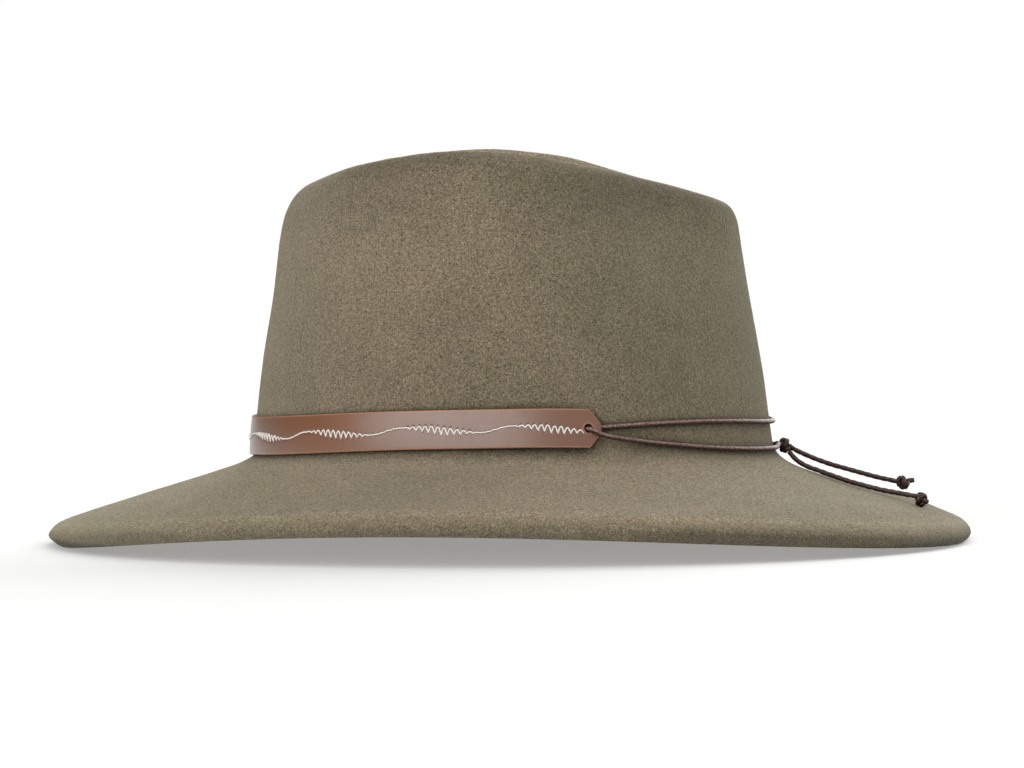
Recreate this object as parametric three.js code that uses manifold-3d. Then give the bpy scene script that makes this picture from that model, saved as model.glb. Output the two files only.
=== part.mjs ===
// A wide-brimmed felt hat with a pinched, dented crown, a leather hat band and a tied waxed cord.
// Millimetres. +Z is up and z = 0 is the surface the brim rests on. +X is the pinched end of the
// crown, where the cord is knotted, and -Y is the side on which the band's stitched end shows.
// Angles are in degrees round the crown from +X, and a positive angle is on the +Y side.

import * as THREE from "three";
import { mergeVertices } from "three/addons/utils/BufferGeometryUtils.js";
import Module from "manifold-3d";

const wasm = await Module();
wasm.setup();

// Driving dimensions
const FELT_THICKNESS = 2.6;
const FELT_ANGLE_STEPS = 60;
const REST_FLAT = 0.45; // how far the edge of the brim is pressed flat where it rests
const PINCH_ANGLE = 48;
const PINCH_SPREAD = 19;
const FAR_RIDGE_RISE = 1.6; // the far ridge was shaped a little higher than the near one
const FAR_RIDGE_ANGLE = 84;
const FAR_RIDGE_SPREAD = 22;
const BAND_WIDTH = 15;
const BAND_THICKNESS = 1.7;
const BAND_SEAT_GAP = 0.45;
const BAND_END_ANGLE = 70.8; // where the band's pointed ends stop, on both sides
const BAND_BOTTOM = [34.4, 38.3, 39, 34.8]; // at 0, 60, 120 and 180 degrees
const BAND_POINT_LENGTH = 4.6;
const BAND_NOSE_HEIGHT = 3.4;
const BAND_STEPS = 56;
const BAND_LIFTED_ANGLE = 7; // the band's ends stand off the felt over this angle,
const BAND_SEATED_ANGLE = 20; // and it is seated on the felt from this angle on
const CROWN_MM_PER_DEGREE = 1.75; // along the crown's foot, near the band's ends
const HOLE_ANGLE = 73.6;
const HOLE_RADIUS = 1.8;
const CORD_RADIUS = 1;
const CORD_GAP = 0.35;
const CORD_SIDES = 8;
const CORD_STEP = 5; // a facet's length along the cord, and where it turns through the hole
const CORD_TURN_STEP = 1.6;
const TAIL_STEPS = 12;

// The felt's outer face, section by section, from the cut edge of the brim up the crown, over the
// crest and down into the dent. front, back and side are how far a section reaches along +X, -X
// and Y. egg narrows its front half. pinch is how deep the two side pinches press it in. uneven
// is its share of the far ridge's extra height. heights are at 0, 60, 120 and 180 degrees. steps
// is how many facets reach the next section.
const SECTIONS = [
  // name, front, back, side, egg, pinch, uneven, heights, steps
  ["cut_edge", 178.4, 180, 162, 0, 0, 0, [0.2, 6.8, 10.2, 0.2], 1],
  ["lip_side", 180.9, 181.7, 163.7, 0, 0, 0, [3.1, 10.5, 13.6, 3.8], 2],
  ["lip_top", 178.1, 178.8, 160, 0, 0, 0, [7.4, 15, 17.5, 7.6], 1],
  ["lip_inner", 172.2, 172.3, 154, 0, 0, 0, [10.4, 17.5, 19.7, 10.2], 1],
  ["brim_outer", 159.7, 158.3, 142, 0, 0, 0, [15.1, 20.2, 22.5, 14.7], 2],
  ["brim_middle", 138.7, 137.3, 121, 0, 0, 0, [20.3, 25.1, 27, 21.4], 2],
  ["brim_inner", 118.8, 116.3, 100, 0, 0, 0, [26.6, 30.7, 32.2, 28], 2],
  ["break_out", 107.6, 104.3, 89, 0, 0, 0, [31.9, 34.8, 34.8, 32.5], 1],
  ["break_in", 103.8, 100.7, 85.3, 0, 0, 0, [36.5, 39, 38.1, 35.2], 1],
  ["wall_foot", 102.6, 100.4, 84, 0, 0, 0, [43, 45.8, 45.7, 42.6], 1],
  ["wall_low", 99.9, 98.3, 81.2, -0.01, 0.3, 0, [63.5, 64.8, 65.3, 63.6], 2],
  ["wall_middle", 94.9, 93.5, 75.6, -0.03, 2, 0, [92.5, 94.8, 96.3, 94.5], 2],
  ["wall_high", 91.4, 90.2, 69.5, -0.06, 5, 0.2, [115.6, 119.8, 122.3, 119.5], 2],
  ["under_crest", 89.7, 87.9, 65, -0.08, 6.5, 0.6, [127.1, 135.8, 140.7, 130.5], 1],
  ["shoulder", 87.7, 84.5, 63, -0.1, 6, 0.9, [131.7, 143, 148.4, 137.1], 1],
  ["crest", 83.7, 78.6, 59.5, -0.12, 5, 1, [134, 146.4, 151.9, 141.5], 1],
  ["crest_inner", 77.8, 70.6, 54.5, -0.14, 4, 0.9, [132.6, 143.4, 149.8, 141], 1],
  ["dent_slope", 66.3, 56.7, 44, -0.16, 3, 0.4, [126.5, 133.9, 140.8, 136], 2],
  ["dent_foot", 50.3, 39.7, 28, -0.14, 1, 0, [122.2, 126.3, 131.6, 130.7], 1],
  ["dent_floor", 26.3, 19.7, 13, 0, 0, 0, [124.3, 125, 127.3, 128], 1],
  ["dent_centre", 0, 0, 0, 0, 0, 0, [125.7, 125.7, 125.7, 125.7], 0],
].map(([name, front, back, side, egg, pinch, uneven, heights, steps]) => {
  return { name, front, back, side, egg, pinch, uneven, heights, steps };
});

// The cord's near half, from its knot along the foot of the crown, out over the band's point,
// through the hole and back behind the band to the middle of the pinched end. standoff is the
// distance from the felt to the middle of the cord.
const BEHIND_BAND = CORD_RADIUS + CORD_GAP;
const BAND_LIFT = 2 * BEHIND_BAND + 0.1; // how far the band's ends stand off over the cord
const OVER_BAND = BAND_LIFT + BAND_THICKNESS + BEHIND_BAND;
const IN_HOLE = (BEHIND_BAND + OVER_BAND) / 2;
const CORD_ROUTE = [
  { angle: 2.1, height: 37, standoff: 4.4 },
  { angle: 4, height: 36.8, standoff: 3.6 },
  { angle: 8, height: 36.3, standoff: 2.1 },
  { angle: 15, height: 36.4, standoff: 1.5 },
  { angle: 29, height: 37.2, standoff: 1.45 },
  { angle: 41, height: 38.4, standoff: 1.45 },
  { angle: 52, height: 40.4, standoff: 1.5 },
  { angle: 60, height: 41.9, standoff: 2.2 },
  { angle: 66, height: 43.2, standoff: 4.6 },
  { angle: 69, height: 44, standoff: OVER_BAND },
  { angle: 71.2, height: 45, standoff: OVER_BAND },
  { angle: 72.8, height: 46.2, standoff: OVER_BAND },
  { angle: 73.6, height: 46.8, standoff: OVER_BAND - 0.8 },
  { angle: 73.8, height: 47, standoff: IN_HOLE },
  { angle: 73.6, height: 47.2, standoff: BEHIND_BAND + 0.8 },
  { angle: 72.8, height: 47.5, standoff: BEHIND_BAND },
  { angle: 69, height: 47.9, standoff: BEHIND_BAND },
  { angle: 59, height: 48.7, standoff: BEHIND_BAND },
  { angle: 45, height: 49, standoff: BEHIND_BAND },
  { angle: 31, height: 48.4, standoff: BEHIND_BAND },
  { angle: 15, height: 47.3, standoff: BEHIND_BAND },
  { angle: 0, height: 46.9, standoff: BEHIND_BAND },
];

// The knot and the two tails, in place. The near tail runs down onto the brim and lies on it,
// and its end knot props its last stretch up. The far one, stiff with wax, stands out from the
// knot over the brim.
const KNOT_CENTRE = [108.1, 0, 37.1];
const KNOT_AXIS = new THREE.Vector3(0.94, 0, -0.34);
const TAILS = [
  {
    name: "near",
    points: [
      [109.7, -0.8, 34.7], [112, -1.6, 32], [114.8, -2.5, 29.9], [117.8, -3.9, 28.5],
      [121, -5.4, 27.4], [124.1, -6.9, 26.3], [127.2, -8.5, 25.2], [130.3, -10.1, 24.2],
      [133.4, -11.7, 23.2], [136.5, -13.5, 22.4], [139.6, -15.2, 21.6], [142.6, -17, 20.9],
      [145.7, -18.9, 20.2], [148.8, -20.8, 19.7], [151.9, -22.7, 19.2], [154.9, -24.6, 18.7],
      [157.9, -26.6, 18.2],
    ],
    knotCentre: [159.8, -27.9, 17],
    stub: 1.6,
  },
  {
    name: "far",
    points: [
      [110.6, 1, 36.2], [113.4, 1.8, 34.7], [116.3, 2.6, 33.3], [119.3, 3.4, 32],
      [122.3, 4.3, 30.8], [125.3, 5.2, 29.7], [128.3, 6, 28.7], [131.4, 6.8, 27.8],
      [134.5, 7.6, 26.9], [137.6, 8.3, 26], [140.7, 9.1, 25.1], [143.8, 10, 24.2],
      [146.9, 11, 23.4], [150, 11.8, 22.7], [153.1, 12.7, 21.9],
    ],
    knotCentre: [155.4, 13.3, 21.5],
    stub: 3.4,
  },
];
const TIE_KNOT = { ring: 1.8, tube: 0.95, offset: 0.75, lean: 14, stub: 0 };
const END_KNOT = { ring: 1.6, tube: 0.95, offset: 0.75, lean: 16 };

const MATERIALS = {
  felt: new THREE.MeshStandardMaterial({ color: 0x7d7360, roughness: 0.95, metalness: 0 }),
  leather: new THREE.MeshStandardMaterial({ color: 0x7b5843, roughness: 0.5, metalness: 0 }),
  cord: new THREE.MeshStandardMaterial({ color: 0x43302a, roughness: 0.45, metalness: 0 }),
};

const radians = THREE.MathUtils.degToRad;

// A cosine series through the values at 0, 60, 120 and 180 degrees.
function aroundCrown([at0, at60, at120, at180], angle) {
  const a = radians(angle);
  const mean = (at0 + 2 * at60 + 2 * at120 + at180) / 6;
  const first = (at0 + at60 - at120 - at180) / 3;
  const second = (at0 - at60 - at120 + at180) / 3;
  const third = (at0 - 2 * at60 + 2 * at120 - at180) / 6;
  return mean + first * Math.cos(a) + second * Math.cos(2 * a) + third * Math.cos(3 * a);
}

// A rounded bump over the angles near a centre, from 0 to 1.
const bump = (angle, centre, spread) => Math.exp(-(((angle - centre) / spread) ** 2));

function sectionHeight(section, angle) {
  const signed = THREE.MathUtils.euclideanModulo(angle + 180, 360) - 180;
  const rise = FAR_RIDGE_RISE * section.uneven * bump(signed, FAR_RIDGE_ANGLE, FAR_RIDGE_SPREAD);
  const height = aroundCrown(section.heights, angle) + rise;
  return section.name === "cut_edge" ? Math.max(0, height - REST_FLAT) : height;
}

// How much the side pinches narrow a section at an angle, as a factor.
function pinchFactor(section, angle) {
  if (!section.pinch) return 1;
  const fromEnd = Math.abs(THREE.MathUtils.euclideanModulo(angle + 180, 360) - 180);
  return 1 - (section.pinch / section.side) * bump(fromEnd, PINCH_ANGLE, PINCH_SPREAD);
}

function sectionPoint(section, angle) {
  const c = Math.cos(radians(angle));
  const s = Math.sin(radians(angle));
  const reach = (section.front + section.back) / 2 + ((section.front - section.back) / 2) * c;
  const narrowed = pinchFactor(section, angle);
  return new THREE.Vector3(
    reach * c * narrowed,
    section.side * (1 + section.egg * c) * s * narrowed,
    sectionHeight(section, angle),
  );
}

// The felt's outer profile at one angle: a curve through the sections.
function profileAt(angle) {
  const points = SECTIONS.map((section) => sectionPoint(section, angle));
  return new THREE.CatmullRomCurve3(points, false, "centripetal");
}

// The outward normal of the felt's outer face, from the profiles on both sides of the angle.
function normalAt(angle, t) {
  const nudge = 0.5;
  const step = 0.002;
  const along = profileAt(angle + nudge).getPoint(t).sub(profileAt(angle - nudge).getPoint(t));
  const here = profileAt(angle);
  const up = here.getPoint(Math.min(1, t + step)).sub(here.getPoint(Math.max(0, t - step)));
  return along.cross(up).normalize();
}

const sectionShare = (name) =>
  SECTIONS.findIndex((section) => section.name === name) / (SECTIONS.length - 1);

// The place on the crown's wall, or in the fold where it meets the brim, at a height.
function wallShare(angle, height) {
  const profile = profileAt(angle);
  let low = sectionShare("brim_inner");
  let high = sectionShare("under_crest");
  for (let i = 0; i < 30; i += 1) {
    const middle = (low + high) / 2;
    if (profile.getPoint(middle).z < height) low = middle;
    else high = middle;
  }
  return (low + high) / 2;
}

function offWall(angle, height, standoff) {
  const t = wallShare(angle, height);
  return profileAt(angle).getPoint(t).addScaledVector(normalAt(angle, t), standoff);
}

function closedGeometry(positions, triangles) {
  const geometry = new THREE.BufferGeometry();
  geometry.setAttribute("position", new THREE.Float32BufferAttribute(positions.flat(), 3));
  geometry.setIndex(triangles.flat());
  geometry.computeVertexNormals();
  return geometry;
}

const quad = (a, b, c, d) => [a, b, c, a, c, d];

// The one piece of felt: an outer face, an inner face a felt's thickness behind it, and the cut
// edge of the brim between them.
function feltGeometry() {
  const shares = [];
  SECTIONS.forEach((section, row) => {
    for (let i = 0; i < section.steps; i += 1) {
      shares.push((row + i / section.steps) / (SECTIONS.length - 1));
    }
  });
  const rings = shares.length;
  const outer = [];
  const inner = [];
  for (let i = 0; i < FELT_ANGLE_STEPS; i += 1) {
    const angle = (i * 360) / FELT_ANGLE_STEPS;
    const profile = profileAt(angle);
    for (const t of shares) {
      const point = profile.getPoint(t);
      const normal = normalAt(angle, t);
      if (t === 0) normal.setZ(0).normalize();
      outer.push(point.toArray());
      inner.push(point.clone().addScaledVector(normal, -FELT_THICKNESS).toArray());
    }
  }
  const top = profileAt(0).getPoint(1);
  const under = top.clone().setZ(top.z - FELT_THICKNESS);
  const positions = [...outer, ...inner, top.toArray(), under.toArray()];
  const innerStart = outer.length;
  const outerTop = 2 * outer.length;
  const triangles = [];
  for (let i = 0; i < FELT_ANGLE_STEPS; i += 1) {
    const here = i * rings;
    const next = ((i + 1) % FELT_ANGLE_STEPS) * rings;
    for (let k = 0; k < rings - 1; k += 1) {
      triangles.push(quad(here + k, next + k, next + k + 1, here + k + 1));
      const behind = [here + k + 1, next + k + 1, next + k, here + k].map((v) => v + innerStart);
      triangles.push(quad(...behind));
    }
    triangles.push(quad(here, here + innerStart, next + innerStart, next));
    triangles.push([here + rings - 1, next + rings - 1, outerTop]);
    triangles.push([next + rings - 1 + innerStart, here + rings - 1 + innerStart, outerTop + 1]);
  }
  return closedGeometry(positions, triangles);
}

function solidOf(geometry) {
  const bare = geometry.clone();
  for (const name of ["normal", "uv"]) bare.deleteAttribute(name);
  const merged = mergeVertices(bare, 1e-3);
  return new wasm.Manifold(
    new wasm.Mesh({
      numProp: 3,
      vertProperties: merged.attributes.position.array,
      triVerts: new Uint32Array(merged.index.array),
    }),
  );
}

function geometryOf(solid) {
  const mesh = solid.getMesh();
  const geometry = new THREE.BufferGeometry();
  geometry.setAttribute("position", new THREE.BufferAttribute(mesh.vertProperties, 3));
  geometry.setIndex(new THREE.BufferAttribute(mesh.triVerts, 1));
  geometry.computeVertexNormals();
  return geometry;
}

const turnBetween = (from, to) => new THREE.Quaternion().setFromUnitVectors(from, to);

const bandBottom = (angle) => aroundCrown(BAND_BOTTOM, angle);

// The band's distance from the felt: close, and lifted at both ends over the cord.
function bandStandoff(angle) {
  const fromEnd = Math.min(angle - BAND_END_ANGLE, 360 - BAND_END_ANGLE - angle);
  const seated = THREE.MathUtils.smoothstep(fromEnd, BAND_LIFTED_ANGLE, BAND_SEATED_ANGLE);
  return THREE.MathUtils.lerp(BAND_LIFT, BAND_SEAT_GAP, seated);
}

// The leather band: a flat strap round the back of the crown, pointed at both ends, with a
// punched hole near each point.
function bandGeometry() {
  const first = BAND_END_ANGLE + BAND_POINT_LENGTH / CROWN_MM_PER_DEGREE;
  const last = 360 - first;
  const stations = [{ angle: BAND_END_ANGLE, half: BAND_NOSE_HEIGHT / 2 }];
  for (let i = 0; i <= BAND_STEPS; i += 1) {
    stations.push({ angle: first + ((last - first) * i) / BAND_STEPS, half: BAND_WIDTH / 2 });
  }
  stations.push({ angle: 360 - BAND_END_ANGLE, half: BAND_NOSE_HEIGHT / 2 });
  const positions = [];
  for (const { angle, half } of stations) {
    const bottom = bandBottom(angle);
    const standoff = bandStandoff(angle);
    const low = offWall(angle, bottom, standoff);
    const high = offWall(angle, bottom + BAND_WIDTH, standoff);
    const middle = low.clone().add(high).multiplyScalar(0.5);
    const across = high.clone().sub(low).normalize();
    const out = normalAt(angle, wallShare(angle, bottom + BAND_WIDTH / 2));
    out.addScaledVector(across, -out.dot(across)).normalize();
    const corners = [[-half, 0], [-half, BAND_THICKNESS], [half, BAND_THICKNESS], [half, 0]];
    for (const [up, depth] of corners) {
      const corner = middle.clone().addScaledVector(across, up).addScaledVector(out, depth);
      positions.push(corner.toArray());
    }
  }
  const triangles = [quad(0, 1, 2, 3)];
  for (let i = 0; i < stations.length - 1; i += 1) {
    for (let k = 0; k < 4; k += 1) {
      const a = 4 * i + k;
      const b = 4 * i + ((k + 1) % 4);
      triangles.push(quad(a, a + 4, b + 4, b));
    }
  }
  const end = 4 * (stations.length - 1);
  triangles.push(quad(end + 3, end + 2, end + 1, end));
  let strap = solidOf(closedGeometry(positions, triangles));
  for (const angle of [HOLE_ANGLE, 360 - HOLE_ANGLE]) {
    const height = bandBottom(angle) + BAND_WIDTH / 2;
    const out = normalAt(angle, wallShare(angle, height));
    const punch = new THREE.CylinderGeometry(HOLE_RADIUS, HOLE_RADIUS, 4 * BAND_THICKNESS, 12);
    punch.applyQuaternion(turnBetween(new THREE.Vector3(0, 1, 0), out));
    punch.translate(...offWall(angle, height, BAND_LIFT).toArray());
    strap = strap.subtract(solidOf(punch));
  }
  return geometryOf(strap);
}

// A round tube through a list of points, closed at both ends. The frame is carried along the
// route, so the tube doesn't twist.
function tubeGeometry(points, radius, sides) {
  const tangents = points.map((point, i) => {
    const before = points[Math.max(0, i - 1)];
    const after = points[Math.min(points.length - 1, i + 1)];
    return after.clone().sub(before).normalize();
  });
  let side = new THREE.Vector3(0, 0, 1).cross(tangents[0]).normalize();
  const positions = [];
  points.forEach((point, i) => {
    side = side.clone().addScaledVector(tangents[i], -side.dot(tangents[i])).normalize();
    const up = tangents[i].clone().cross(side);
    for (let k = 0; k < sides; k += 1) {
      const turn = (2 * Math.PI * k) / sides;
      const rim = point.clone().addScaledVector(side, radius * Math.cos(turn));
      positions.push(rim.addScaledVector(up, radius * Math.sin(turn)).toArray());
    }
  });
  const triangles = [];
  for (let i = 0; i < points.length - 1; i += 1) {
    for (let k = 0; k < sides; k += 1) {
      const a = i * sides + k;
      const b = i * sides + ((k + 1) % sides);
      triangles.push(quad(a, b, b + sides, a + sides));
    }
  }
  const last = (points.length - 1) * sides;
  for (let k = 1; k < sides - 1; k += 1) {
    triangles.push([0, k + 1, k], [last, last + k, last + k + 1]);
  }
  return closedGeometry(positions, triangles);
}

// The whole cord that holds the band: the near half of the route, then its mirror image.
function tieCordGeometry() {
  const near = CORD_ROUTE.map(({ angle, height, standoff }) => offWall(-angle, height, standoff));
  const far = near.slice(0, -1).reverse();
  const knots = [...near, ...far.map((point) => new THREE.Vector3(point.x, -point.y, point.z))];
  const route = new THREE.CatmullRomCurve3(knots, false, "centripetal");
  const points = [];
  knots.slice(0, -1).forEach((point, i) => {
    const span = point.distanceTo(knots[i + 1]);
    const steps = Math.max(1, Math.round(span / (span < CORD_STEP ? CORD_TURN_STEP : CORD_STEP)));
    for (let k = 0; k < steps; k += 1) {
      points.push(route.getPoint((i + k / steps) / (knots.length - 1)));
    }
  });
  points.push(knots[knots.length - 1]);
  return tubeGeometry(points, CORD_RADIUS, CORD_SIDES);
}

// A tight knot: two leaning turns of cord round a core, with a stub of cord past it. axis is the
// direction of the cord that it is tied in.
function knotGeometry({ ring, tube, offset, lean, stub }, centre, axis) {
  const upright = new THREE.Vector3(0, 0, 1);
  let knot = solidOf(new THREE.SphereGeometry(ring + tube / 3, 10, 8));
  for (const sign of [-1, 1]) {
    const turn = new THREE.TorusGeometry(ring, tube, 8, 12);
    turn.rotateX(radians(sign * lean));
    turn.translate(0, 0, sign * offset);
    knot = knot.add(solidOf(turn));
  }
  if (stub) {
    const end = new THREE.CylinderGeometry(CORD_RADIUS, CORD_RADIUS, stub, CORD_SIDES);
    end.rotateX(radians(90));
    end.translate(0, 0, offset + stub / 2);
    knot = knot.add(solidOf(end));
  }
  const geometry = geometryOf(knot);
  geometry.applyQuaternion(turnBetween(upright, axis.clone().normalize()));
  geometry.translate(...centre);
  return geometry;
}

function part(name, geometry, material) {
  const mesh = new THREE.Mesh(geometry, material);
  mesh.name = name;
  return mesh;
}

const hat = new THREE.Group();
hat.add(part("felt_body", feltGeometry(), MATERIALS.felt));
hat.add(part("leather_band", bandGeometry(), MATERIALS.leather));
hat.add(part("tie_cord", tieCordGeometry(), MATERIALS.cord));
hat.add(part("tie_knot", knotGeometry(TIE_KNOT, KNOT_CENTRE, KNOT_AXIS), MATERIALS.cord));
for (const { name, points, knotCentre, stub } of TAILS) {
  const knots = points.map((point) => new THREE.Vector3(...point));
  const route = new THREE.CatmullRomCurve3(knots, false, "centripetal");
  const tube = tubeGeometry(route.getSpacedPoints(TAIL_STEPS), CORD_RADIUS, CORD_SIDES);
  hat.add(part(`cord_tail_${name}`, tube, MATERIALS.cord));
  const knot = knotGeometry({ ...END_KNOT, stub }, knotCentre, route.getTangent(1));
  hat.add(part(`end_knot_${name}`, knot, MATERIALS.cord));
}

export default hat;
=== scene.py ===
# A wide-brimmed felt hat with a stitched leather band and a tied waxed cord, dressed over its
# solids. Lengths are in millimetres until a mesh is made, and angles are in degrees round the
# crown from +X, positive on the +Y side. The crown's narrow end is at +X and is called the front.
# The side at -Y, which the camera sees, is called near, and the other far.
import math
from collections import namedtuple

import bpy
import numpy as np
from mathutils import Matrix, Vector


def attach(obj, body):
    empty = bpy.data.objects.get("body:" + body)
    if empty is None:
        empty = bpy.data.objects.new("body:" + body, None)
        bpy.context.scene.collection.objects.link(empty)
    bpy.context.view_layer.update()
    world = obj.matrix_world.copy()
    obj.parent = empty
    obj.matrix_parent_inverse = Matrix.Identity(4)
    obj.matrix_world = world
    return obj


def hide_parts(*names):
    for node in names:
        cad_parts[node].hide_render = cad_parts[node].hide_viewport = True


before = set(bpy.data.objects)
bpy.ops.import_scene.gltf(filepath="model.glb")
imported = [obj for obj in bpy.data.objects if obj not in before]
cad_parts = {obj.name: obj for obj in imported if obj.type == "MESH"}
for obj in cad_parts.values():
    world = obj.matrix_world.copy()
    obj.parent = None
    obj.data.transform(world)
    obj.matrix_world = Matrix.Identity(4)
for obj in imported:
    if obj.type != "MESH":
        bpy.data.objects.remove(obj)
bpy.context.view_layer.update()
rng = np.random.default_rng(41)
MM = 0.001

# Sizes that the solids have too
FELT_THICKNESS = 2.6
REST_FLAT = 0.45  # how much of the lowest edge is cut flat where the hat rests
PINCH_ANGLE, PINCH_SPREAD = 48, 19
FAR_RIDGE_RISE, FAR_RIDGE_ANGLE, FAR_RIDGE_SPREAD = 1.6, 84, 22
CORD_RADIUS, CORD_GAP = 1, 0.35
BAND_WIDTH, BAND_THICKNESS, BAND_SEAT_GAP = 15, 1.7, 0.45
BAND_LIFT = 2 * (CORD_RADIUS + CORD_GAP) + 0.1  # over the cord behind the band's ends
BAND_BOTTOM = (34.4, 38.3, 39, 34.8)  # its lower edge's heights at 0, 60, 120 and 180 degrees
BAND_END_ANGLE = 70.8
BAND_POINT_LENGTH, BAND_NOSE_HEIGHT = 4.6, 3.4
BAND_LIFTED_ANGLE, BAND_SEATED_ANGLE = 7, 32  # from the band's end
HOLE_ANGLE, HOLE_RADIUS = 73.6, 1.8
HOLES = (360 - HOLE_ANGLE, HOLE_ANGLE)

# The felt's outer face, from its cut edge over the brim and up the crown to the dent's centre.
# front and back are how far a section reaches at 0 and 180 degrees, side is half its width, egg
# is how much of that it gains toward the front, pinch is how far both pinches press it in, uneven
# is its share of the far ridge's rise, heights are at 0, 60, 120 and 180 degrees, and rows is how
# many rows of the mesh it takes to the next section.
Section = namedtuple("Section", "name front back side egg pinch uneven heights rows")
SECTIONS = [
    Section("cut_edge", 178.4, 180, 162, 0, 0, 0, (0.2, 6.8, 10.2, 0.2), 4),
    Section("lip_side", 180.9, 181.7, 163.7, 0, 0, 0, (3.1, 10.5, 13.6, 3.8), 6),
    Section("lip_top", 178.1, 178.8, 160, 0, 0, 0, (7.4, 15, 17.5, 7.6), 5),
    Section("lip_inner", 172.2, 172.3, 154, 0, 0, 0, (10.4, 17.5, 19.7, 10.2), 5),
    Section("brim_outer", 159.7, 158.3, 142, 0, 0, 0, (15.1, 20.2, 22.5, 14.7), 7),
    Section("brim_middle", 138.7, 137.3, 121, 0, 0, 0, (20.3, 25.1, 27, 21.4), 7),
    Section("brim_inner", 118.8, 116.3, 100, 0, 0, 0, (26.6, 30.7, 32.2, 28), 5),
    Section("break_out", 107.6, 104.3, 89, 0, 0, 0, (31.9, 34.8, 34.8, 32.5), 5),
    Section("break_in", 103.8, 100.7, 85.3, 0, 0, 0, (36.5, 39, 38.1, 35.2), 5),
    Section("wall_foot", 102.6, 100.4, 84, 0, 0, 0, (43, 45.8, 45.7, 42.6), 7),
    Section("wall_low", 99.9, 98.3, 81.2, -0.01, 0.3, 0, (63.5, 64.8, 65.3, 63.6), 9),
    Section("wall_middle", 94.9, 93.5, 75.6, -0.03, 2, 0, (92.5, 94.8, 96.3, 94.5), 8),
    Section("wall_high", 91.4, 90.2, 69.5, -0.06, 5, 0.2, (115.6, 119.8, 122.3, 119.5), 6),
    Section("under_crest", 89.7, 87.9, 65, -0.08, 6.5, 0.6, (127.1, 135.8, 140.7, 130.5), 5),
    Section("shoulder", 87.7, 84.5, 63, -0.1, 6, 0.9, (131.7, 143, 148.4, 137.1), 5),
    Section("crest", 83.7, 78.6, 59.5, -0.12, 5, 1, (134, 146.4, 151.9, 141.5), 5),
    Section("crest_inner", 77.8, 70.6, 54.5, -0.14, 4, 0.9, (132.6, 143.4, 149.8, 141), 6),
    Section("dent_slope", 66.3, 56.7, 44, -0.16, 3, 0.4, (126.5, 133.9, 140.8, 136), 7),
    Section("dent_foot", 50.3, 39.7, 28, -0.14, 1, 0, (122.2, 126.3, 131.6, 130.7), 7),
    Section("dent_floor", 26.3, 19.7, 13, 0, 0, 0, (124.3, 125, 127.3, 128), 6),
    Section("dent_centre", 0, 0, 0, 0, 0, 0, (125.7, 125.7, 125.7, 125.7), 0),
]
LAST = len(SECTIONS) - 1
AT = {section.name: i for i, section in enumerate(SECTIONS)}


def unit(v):
    """The vectors at a length of one."""
    return v / np.maximum(np.linalg.norm(v, axis=-1, keepdims=True), 1e-12)


def smoothstep(x, low, high):
    """A smooth rise from 0 at low to 1 at high."""
    t = np.clip((np.asarray(x, float) - low) / (high - low), 0, 1)
    return t * t * (3 - 2 * t)


def bump_at(x, centre, spread):
    """A smooth bump that is 1 at its centre."""
    return np.exp(-(((x - centre) / spread) ** 2))


def signed(angle):
    """The same angle between -180 and 180."""
    return (angle + 180) % 360 - 180


def cosine_series(values, angle):
    """A cosine series through the values at 0, 60, 120 and 180 degrees."""
    at0, at60, at120, at180 = values
    a = np.radians(angle)
    return (
        (at0 + 2 * at60 + 2 * at120 + at180) / 6
        + (at0 + at60 - at120 - at180) / 3 * np.cos(a)
        + (at0 - at60 - at120 + at180) / 3 * np.cos(2 * a)
        + (at0 - 2 * at60 + 2 * at120 - at180) / 6 * np.cos(3 * a)
    )


def spline_segment(p0, p1, p2, p3, w):
    """A smooth curve's points between p1 and p2, spaced so that it makes no loops."""
    shortest = 1e-4

    def step(a, b):
        return (((b - a) ** 2).sum(-1, keepdims=True)) ** 0.25

    d0, d1, d2 = step(p0, p1), step(p1, p2), step(p2, p3)
    d1 = np.where(d1 < shortest, 1.0, d1)
    d0 = np.where(d0 < shortest, d1, d0)
    d2 = np.where(d2 < shortest, d1, d2)
    t1 = ((p1 - p0) / d0 - (p2 - p0) / (d0 + d1) + (p2 - p1) / d1) * d1
    t2 = ((p2 - p1) / d1 - (p3 - p1) / (d1 + d2) + (p3 - p2) / d2) * d1
    c2 = -3 * p1 + 3 * p2 - 2 * t1 - t2
    c3 = 2 * p1 - 2 * p2 + t1 + t2
    return p1 + w * (t1 + w * (c2 + w * c3))


def with_ends(p):
    """The points with one more past each end."""
    first = 2 * p[..., :1, :] - p[..., 1:2, :]
    last = 2 * p[..., -1:, :] - p[..., -2:-1, :]
    return np.concatenate([first, p, last], -2)


def spline(knots, per_knot):
    """Points along the curve through knots: per_knot steps to a span, and the last knot."""
    p = with_ends(np.asarray(knots, float))
    w = (np.arange(per_knot) / per_knot)[:, None]
    spans = [spline_segment(*p[i : i + 4], w) for i in range(len(p) - 3)]
    return np.concatenate([*spans, p[-2:-1]])


def run_length(points):
    """The length along a line from its start to each of its points."""
    return np.concatenate([[0], np.cumsum(np.linalg.norm(np.diff(points, axis=0), axis=1))])


def spaced(points, step):
    """The same line with its points about one step apart."""
    length = run_length(points)
    at = np.linspace(0, length[-1], max(2, round(length[-1] / step) + 1))
    return np.stack([np.interp(at, length, points[:, k]) for k in range(3)], 1)


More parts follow.
